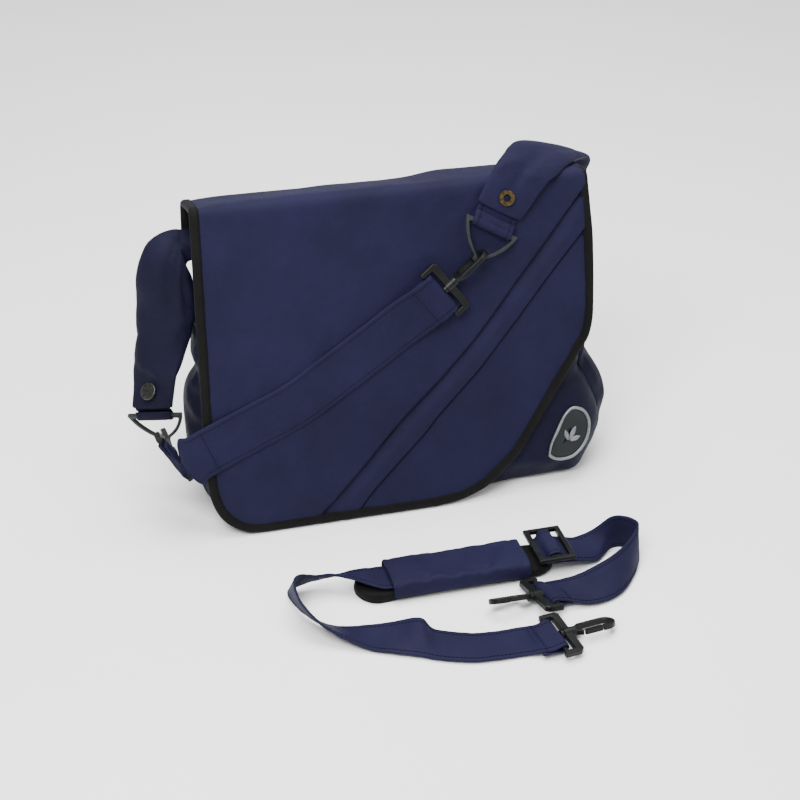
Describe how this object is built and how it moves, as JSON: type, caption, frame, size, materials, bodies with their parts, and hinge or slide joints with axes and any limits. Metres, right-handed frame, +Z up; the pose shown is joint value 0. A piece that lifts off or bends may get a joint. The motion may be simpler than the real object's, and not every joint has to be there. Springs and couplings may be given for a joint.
{
  "type": "diaper bag",
  "caption": "Soft messenger-style bag with a wide front flap, side pockets, a clip-on carry loop and a detachable padded shoulder strap with swivel clips.",
  "frame": {"origin": "centre of the bag's base, on the surface that it stands on", "axes": "+Z up, the flap faces -Y, +X to the right when looking at the flap"},
  "size_m": [0.4735, 0.4001, 0.329],
  "materials": {
    "navy_nylon": "woven nylon with a soft sheen",
    "black_tape": "matte woven tape",
    "lining_cloth": "thin plain-weave lining",
    "hook_and_loop": "napped fastener tape",
    "elastic_tape": "ribbed elastic",
    "black_plastic": "moulded, satin gloss",
    "board": "plain stiffener sheet",
    "foam": "closed-cell foam",
    "brass": "polished, slightly worn",
    "badge_metal": "satin cast metal"
  },
  "bodies": {
    "bag_body": {"front_panel": "navy_nylon", "back_panel": "navy_nylon", "left_gusset": "navy_nylon", "right_gusset": "navy_nylon", "base_panel": "black_tape", "lining": "lining_cloth", "base_board": "board", "mouth_binding": "black_tape", "inner_pocket": "lining_cloth", "inner_pocket_elastic": "elastic_tape", "left_side_pocket": "navy_nylon", "left_side_pocket_elastic": "elastic_tape", "right_side_pocket": "navy_nylon", "right_side_pocket_elastic": "elastic_tape", "badge_plate": "black_plastic", "badge_rim": "badge_metal", "badge_motif": "badge_metal", "closure_loop_patches": "hook_and_loop", "left_band_anchor": "navy_nylon", "right_band_anchor": "navy_nylon"},
    "flap": {"flap_main_field": "navy_nylon", "flap_welt": "navy_nylon", "flap_corner_field": "navy_nylon", "flap_top_panel": "navy_nylon", "flap_back_strip": "navy_nylon", "flap_lining": "lining_cloth", "flap_binding": "black_tape", "closure_hook_patches": "hook_and_loop", "right_band_root": "navy_nylon"},
    "carry_loop": {"right_band": "navy_nylon", "left_band": "navy_nylon", "right_ring_tab": "navy_nylon", "left_ring_tab": "navy_nylon", "left_snap": "brass", "right_snap": "brass", "front_strap": "navy_nylon"},
    "shoulder_strap": {"strap_long_run": "navy_nylon", "strap_short_run": "navy_nylon", "strap_pad_run": "navy_nylon"},
    "shoulder_pad": {"pad_base": "black_tape", "pad_core": "foam", "pad_binding": "black_tape", "pad_sleeve": "navy_nylon"},
    "slider": {"strap_slider": "black_plastic", "slider_loop": "navy_nylon"},
    "left_ring_link": {"left_ring": "black_plastic"},
    "right_ring_link": {"right_ring": "black_plastic"},
    "left_clip": {"left_clip_base": "black_plastic"},
    "left_swivel": {"left_hook": "black_plastic"},
    "left_latch": {"left_gate": "black_plastic"},
    "right_clip": {"right_clip_base": "black_plastic"},
    "right_swivel": {"right_hook": "black_plastic"},
    "right_latch": {"right_gate": "black_plastic"},
    "near_clip": {"near_clip_base": "black_plastic"},
    "near_swivel": {"near_hook": "black_plastic"},
    "near_latch": {"near_gate": "black_plastic"},
    "far_clip": {"far_clip_base": "black_plastic"},
    "far_swivel": {"far_hook": "black_plastic"},
    "far_latch": {"far_gate": "black_plastic"}
  },
  "joints": [
    {"name": "flap_open", "type": "hinge", "parent": "bag_body", "child": "flap", "pos_m": [0, 0.06, 0.256], "axis": [-1, 0, 0], "range_deg": [0, 145]},
    {"name": "carry_loop_lift", "type": "hinge", "parent": "flap", "child": "carry_loop", "pos_m": [-0.206, 0.058, 0.256], "axis": [0.9961, 0.0204, 0.0856], "range_deg": [-110, 0]},
    {"name": "left_ring_swing", "type": "hinge", "parent": "carry_loop", "child": "left_ring_link", "pos_m": [-0.23944, -0.00175, 0.09912], "axis": [-0.8574, 0.4769, -0.1936], "range_deg": [0, 4]},
    {"name": "left_clip_tilt", "type": "hinge", "parent": "carry_loop", "child": "left_clip", "pos_m": [-0.22912, -0.04564, 0.07632], "axis": [-0.5138, 0.118, 0.8498], "range_deg": [-1, 1]},
    {"name": "left_hook_swivel", "type": "hinge", "parent": "left_clip", "child": "left_swivel", "pos_m": [-0.22912, -0.04564, 0.07632], "axis": [-0.0259, 0.9879, -0.1529], "range_deg": [-5, 5]},
    {"name": "right_ring_swing", "type": "hinge", "parent": "carry_loop", "child": "right_ring_link", "pos_m": [0.08662, -0.0131, 0.26641], "axis": [-0.8682, 0.1366, 0.4771], "range_deg": [0, 5]},
    {"name": "right_clip_tilt", "type": "hinge", "parent": "carry_loop", "child": "right_clip", "pos_m": [0.03266, -0.03167, 0.21214], "axis": [0.6146, -0.2193, -0.7577], "range_deg": [0, 3.3]},
    {"name": "right_hook_swivel", "type": "hinge", "parent": "right_clip", "child": "right_swivel", "pos_m": [0.03266, -0.03167, 0.21214], "axis": [0.7888, 0.167, 0.5915], "range_deg": [-6, 6]},
    {"name": "near_clip_tilt", "type": "hinge", "parent": "shoulder_strap", "child": "near_clip", "pos_m": [0.063, -0.303, 0.0075], "axis": [0.1203, -0.9927, 0], "range_deg": [0, 50]},
    {"name": "near_hook_swivel", "type": "hinge", "parent": "near_clip", "child": "near_swivel", "pos_m": [0.063, -0.303, 0.0075], "axis": [0.9927, 0.1203, 0], "continuous": true},
    {"name": "far_clip_tilt", "type": "hinge", "parent": "shoulder_strap", "child": "far_clip", "pos_m": [0.0766, -0.244, 0.0072], "axis": [-0.1492, 0.9789, -0.1399], "range_deg": [0, 50]},
    {"name": "far_hook_swivel", "type": "hinge", "parent": "far_clip", "child": "far_swivel", "pos_m": [0.0766, -0.244, 0.0072], "axis": [-0.9827, -0.131, 0.131], "continuous": true},
    {"name": "left_gate_press", "type": "hinge", "parent": "left_swivel", "child": "left_latch", "pos_m": [-0.22867, -0.01935, 0.06425], "axis": [0.9891, 0.0476, 0.1396], "range_deg": [0, 18], "stiffness_Nm_per_rad": 0.02},
    {"name": "right_gate_press", "type": "hinge", "parent": "right_swivel", "child": "right_latch", "pos_m": [0.0546, -0.01934, 0.22639], "axis": [0.6146, -0.2178, -0.7582], "range_deg": [0, 18], "stiffness_Nm_per_rad": 0.02},
    {"name": "near_gate_press", "type": "hinge", "parent": "near_swivel", "child": "near_latch", "pos_m": [0.0915, -0.30712, 0.01024], "axis": [-0.0412, 0.3395, 0.9397], "range_deg": [0, 18], "stiffness_Nm_per_rad": 0.02},
    {"name": "far_gate_press", "type": "hinge", "parent": "far_swivel", "child": "far_latch", "pos_m": [0.05075, -0.25395, 0.01554], "axis": [-0.0265, -0.6007, -0.7991], "range_deg": [0, 18], "stiffness_Nm_per_rad": 0.02},
    {"name": "strap_lift", "type": "slide", "parent": "bag_body", "child": "shoulder_strap", "axis": [0, 0, 1], "range_m": [0, 0.3]},
    {"name": "pad_slide", "type": "slide", "parent": "shoulder_strap", "child": "shoulder_pad", "axis": [1, 0, 0], "range_m": [-0.006, 0.006]},
    {"name": "slider_adjust", "type": "slide", "parent": "shoulder_strap", "child": "slider", "axis": [1, 0, 0], "range_m": [-0.004, 0.008]}
  ],
  "couplings": [
    {"joint": "right_clip_tilt", "follows": "right_ring_swing", "ratio": 0.6557}
  ]
}
